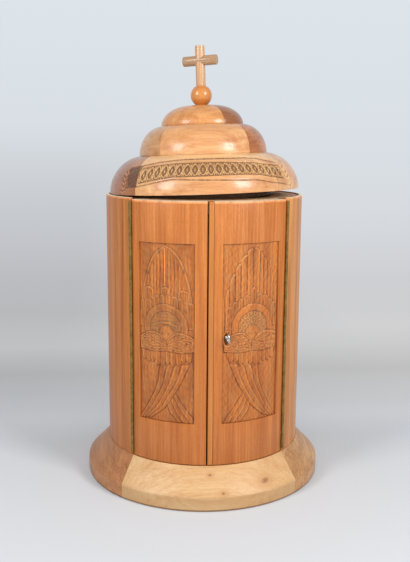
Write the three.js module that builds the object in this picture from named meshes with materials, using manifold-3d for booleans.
// A round altar tabernacle in waxed wood: a coopered drum on a bevelled plinth, two curved doors
// on piano hinges, and a stepped dome lid with a ball and a cross.
// Millimetres and degrees, +Z up, origin at the middle of the underside of the plinth.
// The front is -Y. An angle on the drum is measured from the front, positive towards +X.
import * as THREE from "three";
import { mergeVertices } from "three/addons/utils/BufferGeometryUtils.js";
import Module from "manifold-3d";

const wasm = await Module();
wasm.setup();

// Clearances
const glueLine = 0.3; // between pieces that are glued or seated together
const runningGap = 0.4; // between pieces that slide or turn in each other
const cutMargin = 2; // how far a cutting tool runs past the face it cuts

// Plinth
const plinthProjection = 40; // how far it stands out from the drum
const plinthLedge = 30; // how far it runs in under the bottom board
const plinthEdge = 26; // height of its upright edge, below the bevel
const plinthHeight = 66;
const plinthJointAngle = 44.5; // where a joint comes out at the foot, measured from front or back

// Rings of four segments: the plinth and two tiers of the lid
const segmentSides = ["front", "right", "back", "left"];
const jointLean = 30; // from a joint to the line between front and back

// Drum wall
const drumRadius = 180;
const wallThickness = 20;
const bottomBoardThickness = 20;
const wallTop = 524; // top of the lip round the lid
const lidSeatDepth = 2; // the rebate that the lid sits in
const staveCount = 8;

// Top board
const topBoardThickness = 22;
const recessDepth = 12; // turned recess for the lid's locating disc

// Doors
const hingeAngle = 48.1; // the hinge pins stand this far either side of the front
const hingeGap = 2.2; // between the edges of door and wall, at the outside
const meetingAngle = -2.2; // middle of the gap between the two doors
const meetingGap = 2.5;
const beadWidth = 8.8; // lipping on the right door's meeting edge
const beadProud = 1.6;
const beadRound = 1.5;
const doorTopGap = 0.5; // below the seat of the lid
const doorFootGap = 1.5; // above the bottom board

// Sunk panels of the doors, as distances along the outside of the drum
const panelDepth = 3;
const panelFoot = 141;
const panelTop = 451.5;
const leftPanelWidth = 104;
const rightPanelWidth = 112.5;
const leftPanelFromMeeting = 20.7;
const rightPanelFromBead = 15.3;

// Piano hinges
const knuckleRadius = 2.7;
const knuckleBore = 1.35;
const hingePinRadius = 1.1;
const pinProud = 1.3; // how far the pin's axis stands off the drum
const knuckleCount = 19;
const knuckleGap = 0.4;
const leafThickness = 0.6;
const leafWidth = 15;
const leafOffset = 0.2; // from the middle of the hinge gap
const hingeEndGap = 3; // from the ends of the door

// Lock, on the inside of the right door
const keyFromPanelEdge = 7.6; // along the outside, from the edge of the sunk panel
const keyHeight = 294;
const lockDepth = 11;
const lockHeight = 60;
const lockTail = 24; // from the key to the side of the case away from the edge
const lockPlate = 1.2;
const boltThickness = 5;
const boltHeight = 24;
const boltDrop = 13; // from the key's axis down to the bolt's lower edge
const boltTail = 17; // from the key to the inner end of the bolt
const boltThrow = 8;
const bitReach = 8;
const bitWidth = 6;
const bitThickness = 2;
const keyShankRadius = 2.3;
const keyholeRadius = 3;
const keyBowHeight = 17;
const keyBowLength = 13;
const keyBowRim = 3.2;
const keyBowThickness = 3.5;
const keyCollarRadius = 3.4;
const keyCollarLength = 2;
const keyCollarBack = 1; // from the collar to the bow
const keyReach = 7; // from the sunk panel to the start of the bow
const plateWidth = 8;
const plateHeight = 20;
const plateThickness = 1.2;
const plateDrop = 4; // from the key's axis down to the middle of the plate
const keeperLength = 16;
const keeperWall = 2.4;

// Slide bolts, on the inside of the left door
const slideAngle = -6.5;
const slideRodRadius = 3.5;
const slideRodLength = 92;
const slideRodDepth = 9; // from the door's inside to the middle of the rod
const slideEndGap = 2;
const slideThrow = 12;
const slidePlateLength = 60;
const slidePlateWidth = 16;
const slidePlateThickness = 1.4;
const slidePlateInset = 30; // from the free end of the rod to the plate
const stapleLength = 6;
const stapleWall = 1.6;
const knobRadius = 3.4;
const knobLength = 9;
const bushWall = 1.3;
const bushLength = 12;

// Lid
const lidSetBack = 7; // from the outside of the drum to the lid's rim
const lowerTierHeight = 65.5;
const lowerTierRound = 67; // how far its curve runs in
const lowerTierCrown = 66.5; // height at which the curve would be level
const middleTierSetBack = 1.2; // from the top edge of the lower tier
const middleTierHeight = 51.4;
const middleTierRound = 45;
const middleTierCrown = 52;
const upperTierSetBack = 3.4; // from the top edge of the middle tier
const upperTierHeight = 35.6;
const upperTierFlat = 22;
const lowerTierJointAngle = 44.6; // where a joint comes out at the rim
const middleTierJointAngle = 42.3;
const upperSeamAngle = 30; // the two halves of the upper tier meet here
const lidTurn = -2.5; // the lid is set down turned this much
const tierShelf = 22; // width of the flat that the next tier stands on
const locatingDiscSetBack = 51; // from the lid's rim
const locatingDiscThickness = 11;
const locatingPlay = 1; // between the disc and its recess, all round
const lidClearance = 1.6; // between the lid's rim and the lip of the wall

// The lid stands askew: its rim is down on one side, and on the other its disc is caught on
// the edge of the recess, at two places this far either side of the high side.
const caughtAngle = 40;
const highSideAngle = 62; // where the lid stands highest, measured as on the drum

// Frieze, sunk into the lower tier
const friezeDepth = 1.5;
const friezeHalfAngle = 59;
const friezeFoot = 21;
const friezeTop = 55;

// Ball and cross
const ballRadius = 19.4;
const ballSink = 2; // how much of the ball is cut flat at its foot
const tenonRadius = 5;
const tenonLength = 13;
const crossRadius = 8.85;
const crossSocketDepth = 10;
const crossHeight = 68.2; // from the top of the ball to the top of the post
const armHeight = 42.1; // from the top of the ball to the middle of the arm
const armLength = 63.5;
const crossTurn = -22.5;
const crossChamfer = 0.8;

// Facets
const drumStep = 3.75;
const tierStep = 6;
const tierPoints = 7;
const boardSides = 72;
const roundSides = 20;
const dowelSides = 20;

// Sizes that follow from the ones above
const rad = Math.PI / 180;
const innerRadius = drumRadius - wallThickness;
const seatHeight = wallTop - lidSeatDepth;
const topBoardFoot = seatHeight - topBoardThickness;
const doorFoot = plinthHeight + doorFootGap;
const doorTop = seatHeight - doorTopGap;
const plinthRadius = drumRadius + plinthProjection;
const plinthInnerRadius = drumRadius - plinthLedge;
const angleOf = (length, radius = drumRadius) => length / radius / rad;
const hingeHalfGap = angleOf(hingeGap) / 2;
const leftMeetingEdge = meetingAngle - angleOf(meetingGap) / 2;
const rightMeetingEdge = meetingAngle + angleOf(meetingGap) / 2;
const beadEdge = rightMeetingEdge + angleOf(beadWidth);
const keyAngle = beadEdge + angleOf(rightPanelFromBead + keyFromPanelEdge);
const pinAxisRadius = drumRadius + pinProud;
const grooveRadius = knuckleRadius + runningGap;
const tierTop = (radius, height, round, crown) =>
  radius - round * (1 - Math.sqrt(1 - (height / crown) ** 2));
const lidRadius = drumRadius - lidSetBack;
const lowerTierTop = tierTop(lidRadius, lowerTierHeight, lowerTierRound, lowerTierCrown);
const middleTierRadius = lowerTierTop - middleTierSetBack;
const middleTierTop = tierTop(middleTierRadius, middleTierHeight, middleTierRound, middleTierCrown);
const upperTierRadius = middleTierTop - upperTierSetBack;
const locatingDiscRadius = lidRadius - locatingDiscSetBack;
const recessRadius = locatingDiscRadius + locatingPlay;
const bushRadius = slideRodRadius + runningGap + bushWall;

// Finishes
const finish = (color, roughness, metalness = 0) =>
  new THREE.MeshStandardMaterial({ color, roughness, metalness });
const wood = finish(0xb97a4a, 0.45);
const paleWood = finish(0xcf9f6e, 0.5);
const innerWood = finish(0xa9774c, 0.6);
const ballWood = finish(0xc97f3c, 0.3);
const brass = finish(0x9a7b3c, 0.4, 0.9);
const steel = finish(0xa7a8a6, 0.35, 0.9);

// A mesh with its name and finish.
function piece(name, geometry, material) {
  const mesh = new THREE.Mesh(geometry, material);
  mesh.name = name;
  return mesh;
}

// A closed geometry as a solid that can be cut and joined.
function solidOf(geometry) {
  const bare = geometry.clone();
  bare.deleteAttribute("normal");
  bare.deleteAttribute("uv");
  const merged = mergeVertices(bare, 1e-4);
  return new wasm.Manifold(
    new wasm.Mesh({
      numProp: 3,
      vertProperties: new Float32Array(merged.attributes.position.array),
      triVerts: new Uint32Array(merged.index.array),
    }),
  );
}

// A cut or joined solid as a geometry again.
function geometryOf(solid) {
  const mesh = solid.getMesh();
  return new THREE.BufferGeometry()
    .setAttribute("position", new THREE.BufferAttribute(mesh.vertProperties, 3))
    .setIndex(new THREE.BufferAttribute(mesh.triVerts, 1));
}

// The point of the drum's frame at a radius, an angle from the front and a height.
const onDrum = (radius, angle, z) =>
  new THREE.Vector3(radius * Math.sin(angle * rad), -radius * Math.cos(angle * rad), z);

// The solid that a closed profile of [radius, height] points sweeps from one angle to another.
function sector(profile, from, to, step) {
  const outline = profile.map(([r, z]) => new THREE.Vector2(r, z));
  if (THREE.ShapeUtils.isClockWise(outline)) outline.reverse();
  const stops = Math.max(1, Math.ceil((to - from) / step - 1e-6));
  const count = outline.length;
  const positions = [];
  for (let i = 0; i <= stops; i++) {
    const angle = from + ((to - from) * i) / stops;
    for (const p of outline) positions.push(...onDrum(p.x, angle, p.y).toArray());
  }
  const faces = [];
  for (let i = 0; i < stops; i++) {
    for (let j = 0; j < count; j++) {
      const near = i * count + j;
      const next = i * count + ((j + 1) % count);
      faces.push(near, next + count, next, near, near + count, next + count);
    }
  }
  const last = stops * count;
  for (const [a, b, c] of THREE.ShapeUtils.triangulateShape(outline, [])) {
    faces.push(a, b, c, last + a, last + c, last + b);
  }
  const geometry = new THREE.BufferGeometry();
  geometry.setAttribute("position", new THREE.Float32BufferAttribute(positions, 3));
  geometry.setIndex(faces);
  return geometry;
}

// A ring of four segments with a given section. Its joints are upright planes that lean to the
// line between front and back, so the front and back segments grow narrower towards the outside.
function segmentRing(name, profile, radius, jointAngle, step, dress = (solid) => solid) {
  const group = new THREE.Group();
  const lean = jointLean * rad;
  const offset = radius * Math.sin((jointAngle - jointLean) * rad);
  const reach = step * Math.ceil(63 / step);
  segmentSides.forEach((side, i) => {
    const middle = i * 90;
    let solid = solidOf(sector(profile, middle - reach, middle + reach, step));
    const inner = i % 2 === 0 ? -1 : 1; // front and back lie inside the joints
    const across = i === 1 ? [1] : i === 3 ? [-1] : [1, -1];
    const forward = i === 0 ? [1] : i === 2 ? [-1] : [1, -1];
    for (const x of across) {
      for (const y of forward) {
        const normal = [inner * x * Math.cos(lean), inner * y * Math.sin(lean), 0];
        solid = solid.trimByPlane(normal, inner * offset + glueLine / 2);
      }
    }
    group.add(piece(name + "_" + side, geometryOf(dress(solid, side)), wood));
  });
  return group;
}

// A block by its lowest and highest corners.
function block(low, high) {
  const size = high.map((value, i) => value - low[i]);
  const middle = high.map((value, i) => (value + low[i]) / 2);
  return new THREE.BoxGeometry(...size).translate(...middle);
}

// An upright rod or disc.
function upright(radius, foot, top, sides, x = 0, y = 0) {
  return new THREE.CylinderGeometry(radius, radius, top - foot, sides)
    .rotateX(Math.PI / 2)
    .translate(x, y, (foot + top) / 2);
}

// A rod that lies along the drum's radius at the front, from one radius to another.
function radialRod(radius, inner, outer, sides, x = 0, z = 0) {
  return new THREE.CylinderGeometry(radius, radius, outer - inner, sides)
    .translate(x, -(inner + outer) / 2, z);
}

// Plinth: a bevelled ring of four segments, and the bottom board let into them.
function plinth() {
  const boardFoot = plinthHeight - bottomBoardThickness;
  const lipRadius = drumRadius + glueLine;
  const profile = [
    [plinthInnerRadius, 0],
    [plinthRadius, 0],
    [plinthRadius, plinthEdge],
    [lipRadius + glueLine, plinthHeight],
    [lipRadius, plinthHeight],
    [lipRadius, boardFoot],
    [plinthInnerRadius, boardFoot],
  ];
  const group = segmentRing("plinth", profile, plinthRadius, plinthJointAngle, drumStep);
  group.children[0].material = paleWood;

  let board = solidOf(upright(drumRadius, boardFoot, plinthHeight, boardSides));
  const socketFoot = plinthHeight - bushLength - glueLine;
  board = board.subtract(slideHole(bushRadius + glueLine, socketFoot, plinthHeight + cutMargin));
  group.add(piece("bottom_board", geometryOf(board), innerWood));
  return group;
}

// The groove along a door's or a wall's edge in which the knuckles of a hinge turn.
function hingeGroove(side) {
  const axis = onDrum(pinAxisRadius, side * hingeAngle, 0);
  return solidOf(
    upright(
      grooveRadius, plinthHeight - cutMargin, wallTop + cutMargin, roundSides, axis.x, axis.y),
  );
}

// Drum wall: coopered staves round the back and sides, with a rebate for the lid at the top.
function wall() {
  const group = new THREE.Group();
  const rebateRadius = lidRadius + lidClearance;
  const profile = [
    [innerRadius, plinthHeight],
    [drumRadius, plinthHeight],
    [drumRadius, wallTop],
    [rebateRadius, wallTop],
    [rebateRadius, seatHeight],
    [innerRadius, seatHeight],
  ];
  const start = hingeAngle + hingeHalfGap;
  const span = (360 - 2 * start) / staveCount;
  const joint = angleOf(glueLine) / 2;
  for (let i = 0; i < staveCount; i++) {
    const first = i === 0;
    const final = i === staveCount - 1;
    const from = start + i * span + (first ? 0 : joint);
    const to = start + (i + 1) * span - (final ? 0 : joint);
    const name = first ? "side_stave_right" : final ? "side_stave_left" : "back_stave_" + i;
    let swept = sector(profile, from, to, drumStep);
    if (first || final) {
      swept = geometryOf(solidOf(swept).subtract(hingeGroove(first ? 1 : -1)));
    }
    group.add(piece(name, swept, wood));
  }
  return group;
}

// Top board: closes the chamber, with a turned recess for the lid and a socket for the bolt.
function topBoard() {
  const radius = innerRadius - glueLine;
  const socketTop = topBoardFoot + bushLength + glueLine;
  const board = solidOf(upright(radius, topBoardFoot, seatHeight, boardSides))
    .subtract(
      solidOf(upright(recessRadius, seatHeight - recessDepth, seatHeight + cutMargin, boardSides)),
    )
    .subtract(slideHole(bushRadius + glueLine, topBoardFoot - cutMargin, socketTop));
  return piece("top_board", geometryOf(board), innerWood);
}

// An upright round hole on the line of the slide bolts.
function slideHole(radius, foot, top) {
  const place = onDrum(innerRadius - slideRodDepth, slideAngle, 0);
  return solidOf(upright(radius, foot, top, roundSides, place.x, place.y));
}

// The turned bush that a slide bolt's rod enters.
function bush(name, foot) {
  const top = foot + bushLength;
  const ring = slideHole(bushRadius, foot, top).subtract(
    slideHole(slideRodRadius + runningGap, foot - cutMargin, top + cutMargin),
  );
  return piece(name, geometryOf(ring), brass);
}

// The sunk field of a door's panel, as the solid that is cut away.
function panelCut(from, width) {
  const profile = [
    [drumRadius - panelDepth, panelFoot],
    [drumRadius + cutMargin, panelFoot],
    [drumRadius + cutMargin, panelTop],
    [drumRadius - panelDepth, panelTop],
  ];
  return solidOf(sector(profile, from, from + angleOf(width), drumStep));
}

// One door without its fittings, between two angles.
function doorLeaf(from, to, side, panelFrom, panelWidth) {
  const profile = [
    [innerRadius, doorFoot],
    [drumRadius, doorFoot],
    [drumRadius, doorTop],
    [innerRadius, doorTop],
  ];
  return solidOf(sector(profile, from, to, drumStep))
    .subtract(hingeGroove(side))
    .subtract(panelCut(panelFrom, panelWidth));
}

// The keyhole: a round hole with a slot below it for the bit, along the radius at the key.
function keyholeCut(inner, outer) {
  const slot = bitThickness / 2 + runningGap;
  const hole = solidOf(radialRod(keyholeRadius, inner, outer, 16, 0, keyHeight));
  const below = solidOf(
    block([-slot, -outer, keyHeight - bitReach - 2 * runningGap], [slot, -inner, keyHeight]),
  );
  return hole.add(below).rotate([0, 0, keyAngle]);
}

function leftDoor() {
  const group = new THREE.Group();
  const panelFrom = leftMeetingEdge - angleOf(leftPanelFromMeeting + leftPanelWidth);
  const leaf = doorLeaf(
    -hingeAngle + hingeHalfGap, leftMeetingEdge, -1, panelFrom, leftPanelWidth);
  group.add(piece("left_door", geometryOf(leaf), wood));
  group.add(keeper());
  for (const end of ["top", "bottom"]) group.add(slideBolt(end));
  return group;
}

function rightDoor() {
  const group = new THREE.Group();
  const panelFrom = beadEdge + angleOf(rightPanelFromBead);
  const leafEdge = beadEdge + angleOf(glueLine);
  const leaf = doorLeaf(leafEdge, hingeAngle - hingeHalfGap, 1, panelFrom, rightPanelWidth);
  const drilled = leaf.subtract(keyholeCut(innerRadius - wallThickness, drumRadius + cutMargin));
  group.add(piece("right_door", geometryOf(drilled), wood));
  group.add(meetingBead());
  group.add(lock());
  return group;
}

// The lipping on the meeting edge of the right door, rounded over and a little proud.
function meetingBead() {
  const face = drumRadius + beadProud;
  const round = angleOf(beadRound);
  const profile = [
    [innerRadius, doorFoot],
    [face, doorFoot],
    [face, doorTop],
    [innerRadius, doorTop],
  ];
  const body = solidOf(sector(profile, rightMeetingEdge, beadEdge, drumStep / 2));
  const corner = (angle, side) => {
    const arc = [0, 1, 2, 3].map((i) => (i * Math.PI) / 6);
    const eased = arc.map((turn) =>
      onDrum(
        face - beadRound * (1 - Math.sin(turn)),
        angle + side * round * (1 - Math.cos(turn)),
        0,
      ),
    );
    const outside = [
      onDrum(face + cutMargin, angle + side * round, 0),
      onDrum(face + cutMargin, angle - side * round, 0),
      onDrum(face - beadRound, angle - side * round, 0),
    ];
    const shape = new THREE.Shape([...eased, ...outside].map((p) => new THREE.Vector2(p.x, p.y)));
    const height = doorTop - doorFoot + 2 * cutMargin;
    const cutter = new THREE.ExtrudeGeometry(shape, { depth: height, bevelEnabled: false });
    return solidOf(cutter.translate(0, 0, doorFoot - cutMargin));
  };
  const lipping = body.subtract(corner(rightMeetingEdge, 1)).subtract(corner(beadEdge, -1));
  return piece("meeting_bead", geometryOf(lipping), paleWood);
}

// One leaf of a piano hinge. The frame leaf has the odd knuckles and the door leaf the even ones.
function hingeLeaf(side, part) {
  const foot = doorFoot + hingeEndGap;
  const pitch = (doorTop - hingeEndGap - foot) / knuckleCount;
  const away = part === "frame" ? side : -side;
  const near = away * leafOffset;
  const far = away * (leafOffset + leafThickness);
  const [low, high] = near < far ? [near, far] : [far, near];
  const outer = pinAxisRadius - grooveRadius;
  const top = foot + knuckleCount * pitch;
  let leaf = solidOf(block([low, -outer, foot], [high, -(outer - leafWidth), top]));
  for (let i = part === "frame" ? 0 : 1; i < knuckleCount; i += 2) {
    const from = foot + i * pitch + knuckleGap / 2;
    const to = foot + (i + 1) * pitch - knuckleGap / 2;
    const tab = block([low, -pinAxisRadius, from], [high, -(outer - 1), to]);
    leaf = leaf.add(solidOf(tab));
    leaf = leaf.add(solidOf(upright(knuckleRadius, from, to, 8, 0, -pinAxisRadius)));
  }
  leaf = leaf.subtract(
    solidOf(upright(knuckleBore, foot - cutMargin, top + cutMargin, 6, 0, -pinAxisRadius)),
  );
  const name = (side < 0 ? "left" : "right") + "_hinge_" + part + "_leaf";
  const made = piece(name, geometryOf(leaf), brass);
  made.rotation.z = side * hingeAngle * rad;
  return made;
}

function hingePin(side) {
  const axis = onDrum(pinAxisRadius, side * hingeAngle, 0);
  const foot = doorFoot + hingeEndGap;
  const pin = upright(hingePinRadius, foot, doorTop - hingeEndGap, 6, axis.x, axis.y);
  return piece((side < 0 ? "left" : "right") + "_hinge_pin", pin, brass);
}

// Where the lock sits, in the frame of the key: x along the tangent, radius outwards.
const lockSide = innerRadius * Math.sin((rightMeetingEdge - keyAngle) * rad) + glueLine * 2;
const lockHalfChord = Math.max(-lockSide, lockTail);
const lockOuter = Math.sqrt(innerRadius ** 2 - lockHalfChord ** 2) - glueLine;
const lockInner = lockOuter - lockDepth;
const boltInner = (lockInner + lockOuter - boltThickness) / 2;
const boltOuter = boltInner + boltThickness;
const boltFoot = keyHeight - boltDrop;
const boltTop = boltFoot + boltHeight;

// The surface lock: case, cover plate, bolt, key and keyhole plate.
function lock() {
  const group = new THREE.Group();
  group.rotation.z = keyAngle * rad;
  const foot = keyHeight - lockHeight / 2;
  const top = keyHeight + lockHeight / 2;
  const plateInner = lockOuter - lockPlate;

  const tray = solidOf(block([lockSide, -(plateInner - glueLine), foot], [lockTail, -lockInner, top]))
    .subtract(
      solidOf(
        block(
          [lockSide + lockPlate, -lockOuter - cutMargin, foot + lockPlate],
          [lockTail - lockPlate, -(lockInner + lockPlate), top - lockPlate],
        ),
      ),
    )
    .subtract(
      solidOf(
        block(
          [lockSide - cutMargin, -(boltOuter + runningGap), boltFoot - runningGap],
          [lockSide + lockPlate + cutMargin, -(boltInner - runningGap), boltTop + runningGap],
        ),
      ),
    );
  group.add(piece("lock_case", geometryOf(tray), steel));

  const cover = solidOf(block([lockSide, -lockOuter, foot], [lockTail, -plateInner, top])).subtract(
    keyholeCut(plateInner - cutMargin, lockOuter + cutMargin).rotate([0, 0, -keyAngle]),
  );
  group.add(piece("lock_cover", geometryOf(cover), steel));

  // The bolt has a window in which the bit turns, and the bit drives its edge.
  const room = keyShankRadius + 2 * runningGap;
  const window = block(
    [-room, -boltOuter - cutMargin, keyHeight - bitReach - runningGap],
    [boltThrow + room, -boltInner + cutMargin, keyHeight + room],
  );
  const bar = block([lockSide, -boltOuter, boltFoot], [boltTail, -boltInner, boltTop]);
  const bolt = solidOf(bar).subtract(solidOf(window));
  group.add(piece("lock_bolt", geometryOf(bolt), steel));
  group.add(key());
  group.add(keyholePlate());
  return group;
}

// The key, standing in the lock with its bow upright and its bit down.
function key() {
  const panelFace = drumRadius - panelDepth;
  const bowStart = panelFace + keyReach;
  const shankEnd = bowStart + keyBowRim / 2;
  const shank = solidOf(radialRod(keyShankRadius, boltInner, shankEnd, 12, 0, keyHeight));
  const bitInner = (boltInner + boltOuter - bitWidth) / 2 + runningGap;
  const bit = solidOf(
    block(
      [-bitThickness / 2, -(bitInner + bitWidth), keyHeight - bitReach],
      [bitThickness / 2, -bitInner, keyHeight],
    ),
  );
  const oval = (halfLength, halfHeight) =>
    new THREE.EllipseCurve(0, 0, halfLength, halfHeight).getPoints(20).slice(0, -1);
  const bow = new THREE.Shape(oval(keyBowLength / 2, keyBowHeight / 2));
  const eye = oval(keyBowLength / 2 - keyBowRim, keyBowHeight / 2 - keyBowRim);
  bow.holes.push(new THREE.Path(eye.reverse()));
  const ring = new THREE.ExtrudeGeometry(bow, { depth: keyBowThickness, bevelEnabled: false })
    .translate(0, 0, -keyBowThickness / 2)
    .rotateX(Math.PI / 2)
    .rotateZ(Math.PI / 2)
    .translate(0, -(bowStart + keyBowLength / 2), keyHeight);
  const collarEnd = bowStart - keyCollarBack;
  const collar = solidOf(
    radialRod(keyCollarRadius, collarEnd - keyCollarLength, collarEnd, 12, 0, keyHeight),
  );
  const made = shank.add(bit).add(collar).add(solidOf(ring));
  return piece("key", geometryOf(made), steel);
}

// The oval plate round the keyhole, on the sunk panel.
function keyholePlate() {
  const face = drumRadius - panelDepth + glueLine;
  const oval = new THREE.EllipseCurve(0, 0, plateWidth / 2, plateHeight / 2);
  const shape = new THREE.Shape(oval.getPoints(24).slice(0, -1));
  const slab = new THREE.ExtrudeGeometry(shape, { depth: plateThickness, bevelEnabled: false })
    .rotateX(Math.PI / 2)
    .translate(0, -face, keyHeight - plateDrop);
  const plate = solidOf(slab).subtract(
    keyholeCut(face - cutMargin, face + plateThickness + cutMargin).rotate([0, 0, -keyAngle]),
  );
  return piece("keyhole_plate", geometryOf(plate), steel);
}

// The keeper on the left door that the lock's bolt enters.
function keeper() {
  const gap = runningGap + glueLine;
  const mouth = innerRadius * Math.sin((leftMeetingEdge - keyAngle) * rad) - glueLine;
  const inner = boltInner - gap - keeperWall;
  const box = solidOf(
    block(
      [mouth - keeperLength, -innerRadius, boltFoot - gap - keeperWall],
      [mouth, -inner, boltTop + gap + keeperWall],
    ),
  ).intersect(
    solidOf(
      upright(
        innerRadius - glueLine, boltFoot - keeperLength, boltTop + keeperLength, 2 * boardSides),
    ),
  );
  const pocket = solidOf(
    block(
      [lockSide - boltThrow - gap, -(boltOuter + gap), boltFoot - gap],
      [mouth + cutMargin, -(boltInner - gap), boltTop + gap],
    ),
  );
  const made = piece("lock_keeper", geometryOf(box.subtract(pocket)), brass);
  made.rotation.z = keyAngle * rad;
  return made;
}

// A slide bolt at the top or the bottom of the left door: its staples on a plate, and its rod.
function slideBolt(end) {
  const group = new THREE.Group();
  group.rotation.z = slideAngle * rad;
  const up = end === "top" ? 1 : -1;
  const tip = end === "top" ? topBoardFoot - slideEndGap : plinthHeight + slideEndGap;
  const along = (distance) => tip - up * distance;
  const span = (near, far) => [Math.min(along(near), along(far)), Math.max(along(near), along(far))];
  const rodAxis = innerRadius - slideRodDepth;
  const half = slidePlateWidth / 2;
  const plateOuter = Math.sqrt(innerRadius ** 2 - half ** 2) - glueLine;
  const plateInner = plateOuter - slidePlateThickness;

  const [plateFoot, plateTop] = span(slidePlateInset, slidePlateInset + slidePlateLength);
  let bracket = solidOf(block([-half, -plateOuter, plateFoot], [half, -plateInner, plateTop]));
  const bore = slideRodRadius + runningGap;
  for (const start of [slidePlateInset, slidePlateInset + slidePlateLength - stapleLength]) {
    const [foot, top] = span(start, start + stapleLength);
    const width = bore + stapleWall;
    const arch = solidOf(block([-width, -plateInner - 0.2, foot], [width, -rodAxis, top])).add(
      solidOf(upright(width, foot, top, roundSides, 0, -rodAxis)),
    );
    bracket = bracket.add(arch);
  }
  bracket = bracket.subtract(
    solidOf(upright(bore, plateFoot - cutMargin, plateTop + cutMargin, roundSides, 0, -rodAxis)),
  );
  group.add(piece(end + "_slide_bracket", geometryOf(bracket), brass));

  const [rodFoot, rodTop] = span(0, slideRodLength + slidePlateInset);
  const middle = along(slidePlateInset + slidePlateLength / 2);
  const rod = solidOf(upright(slideRodRadius, rodFoot, rodTop, 16, 0, -rodAxis)).add(
    solidOf(radialRod(knobRadius, rodAxis - slideRodRadius - knobLength, rodAxis, 12, 0, middle)),
  );
  group.add(piece(end + "_slide_rod", geometryOf(rod), brass));
  return group;
}

// The quarter-round outline of a tier, from its widest at the foot to its top.
function tierProfile(radius, height, round, crown, inner, foot) {
  const points = [];
  for (let i = 0; i <= tierPoints; i++) {
    const turn = (Math.asin(height / crown) * i) / tierPoints;
    points.push([radius - round * (1 - Math.cos(turn)), foot + crown * Math.sin(turn)]);
  }
  points.push([inner, foot + height], [inner, foot]);
  return points;
}

// The sunk ground of the frieze: a shell that follows the lower tier's curve.
function friezeCut() {
  const turnAt = (z) => Math.asin(z / lowerTierCrown);
  const face = (turn, depth) => [
    lidRadius - lowerTierRound * (1 - Math.cos(turn)) - depth * Math.cos(turn),
    lowerTierCrown * Math.sin(turn) - depth * Math.sin(turn),
  ];
  const low = turnAt(friezeFoot);
  const high = turnAt(friezeTop);
  const turns = [0, 1, 2, 3].map((i) => low + ((high - low) * i) / 3);
  const outside = turns.map((turn) => face(turn, -cutMargin));
  const inside = turns.map((turn) => face(turn, friezeDepth)).reverse();
  return solidOf(sector([...outside, ...inside], -friezeHalfAngle, friezeHalfAngle, tierStep));
}

// The lid's own frame has its origin on the axis, level with the foot of the lower tier.
function lid() {
  const group = new THREE.Group();
  const middleFoot = lowerTierHeight + glueLine;
  const upperFoot = middleFoot + middleTierHeight + glueLine;
  const lower = tierProfile(
    lidRadius, lowerTierHeight, lowerTierRound, lowerTierCrown, lowerTierTop - tierShelf, 0);
  const cut = friezeCut();
  group.add(segmentRing(
    "lower_tier", lower, lidRadius, lowerTierJointAngle, tierStep,
    (solid, side) => (side === "back" ? solid : solid.subtract(cut))));
  const middle = tierProfile(
    middleTierRadius, middleTierHeight, middleTierRound, middleTierCrown,
    middleTierTop - tierShelf, middleFoot);
  group.add(segmentRing(
    "middle_tier", middle, middleTierRadius, middleTierJointAngle, tierStep));

  const bore = tenonRadius + glueLine;
  const upper = tierProfile(
    upperTierRadius, upperTierHeight, upperTierRadius - upperTierFlat, upperTierHeight, bore, upperFoot);
  const joint = angleOf(glueLine, upperTierRadius) / 2;
  for (const [side, from] of [["left", upperSeamAngle - 180], ["right", upperSeamAngle]]) {
    const half = sector(upper, from + joint, from + 180 - joint, tierStep);
    group.add(piece("upper_tier_" + side, half, wood));
  }

  const disc = upright(
    locatingDiscRadius, -glueLine - locatingDiscThickness, -glueLine, boardSides);
  group.add(piece("locating_disc", disc, innerWood));
  group.add(finial(upperFoot + upperTierHeight + glueLine));

  const discReach = glueLine + locatingDiscThickness;
  const tilt = Math.atan(discReach / (lidRadius + locatingDiscRadius * Math.cos(caughtAngle * rad)));
  const shift = (locatingPlay - glueLine) / Math.cos(caughtAngle * rad) - discReach * Math.sin(tilt);
  const highSide = onDrum(1, highSideAngle, 0);
  group.position.copy(highSide).multiplyScalar(shift);
  group.position.z = seatHeight + glueLine + lidRadius * Math.sin(tilt);
  const level = new THREE.Vector3().crossVectors(highSide, new THREE.Vector3(0, 0, 1));
  group.quaternion
    .setFromAxisAngle(level, tilt)
    .multiply(new THREE.Quaternion().setFromAxisAngle(new THREE.Vector3(0, 0, 1), lidTurn * rad));
  return group;
}

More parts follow.
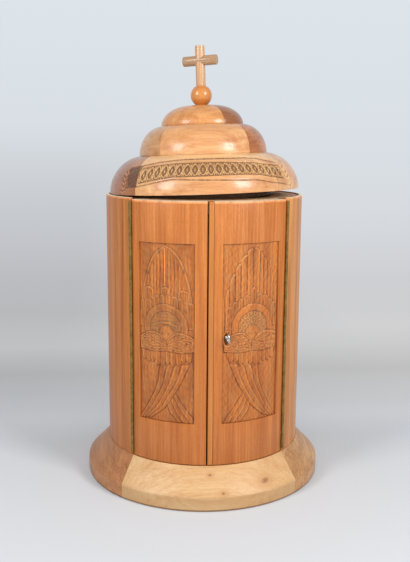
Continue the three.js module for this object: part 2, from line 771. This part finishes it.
// Ball and cross. The ball's tenon goes into the upper tier, and the post stands in the ball.
function finial(foot) {
  const group = new THREE.Group();
  group.rotation.z = crossTurn * rad;
  const centre = foot + ballRadius - ballSink;
  const ballTop = centre + ballRadius;
  const socketFoot = ballTop - crossSocketDepth;
  const sphere = new THREE.SphereGeometry(ballRadius, 24, 12).rotateX(Math.PI / 2).translate(0, 0, centre);
  const big = ballRadius * 2;
  const ball = solidOf(sphere)
    .subtract(solidOf(block([-big, -big, foot - big], [big, big, foot])))
    .add(solidOf(upright(tenonRadius, foot - tenonLength, foot + 1, 16)))
    .subtract(solidOf(upright(crossRadius + glueLine, socketFoot, ballTop + cutMargin, dowelSides)));
  group.add(piece("ball", geometryOf(ball), ballWood));

  const armZ = ballTop + armHeight;
  const postTop = ballTop + crossHeight;
  const fullPost = (radius) => rounded(radius, socketFoot + glueLine, postTop).rotateX(Math.PI / 2);
  const fullArm = (radius) =>
    rounded(radius, -armLength / 2, armLength / 2).rotateZ(Math.PI / 2).translate(0, 0, armZ);
  const frontHalf = solidOf(block([-big, -big, armZ - big], [big, glueLine / 2, armZ + big]));
  const backHalf = solidOf(block([-big, -glueLine / 2, armZ - big], [big, big, armZ + big]));
  const grown = crossRadius + glueLine / 2;
  const post = solidOf(fullPost(crossRadius)).subtract(solidOf(fullArm(grown)).intersect(frontHalf));
  const arm = solidOf(fullArm(crossRadius)).subtract(solidOf(fullPost(grown)).intersect(backHalf));
  group.add(piece("cross_post", geometryOf(post), wood));
  group.add(piece("cross_arm", geometryOf(arm), wood));
  return group;
}

// A dowel along Y with eased ends.
function rounded(radius, from, to) {
  const points = [
    [0, from],
    [radius - crossChamfer, from],
    [radius, from + crossChamfer],
    [radius, to - crossChamfer],
    [radius - crossChamfer, to],
    [0, to],
  ].map(([x, y]) => new THREE.Vector2(x, y));
  return new THREE.LatheGeometry(points, dowelSides);
}

const tabernacle = new THREE.Group();
tabernacle.add(plinth(), wall(), topBoard(), leftDoor(), rightDoor(), lid());
tabernacle.add(bush("top_bolt_bush", topBoardFoot), bush("bottom_bolt_bush", plinthHeight - bushLength));
for (const side of [-1, 1]) {
  tabernacle.add(hingeLeaf(side, "frame"), hingeLeaf(side, "door"), hingePin(side));
}

export default tabernacle;
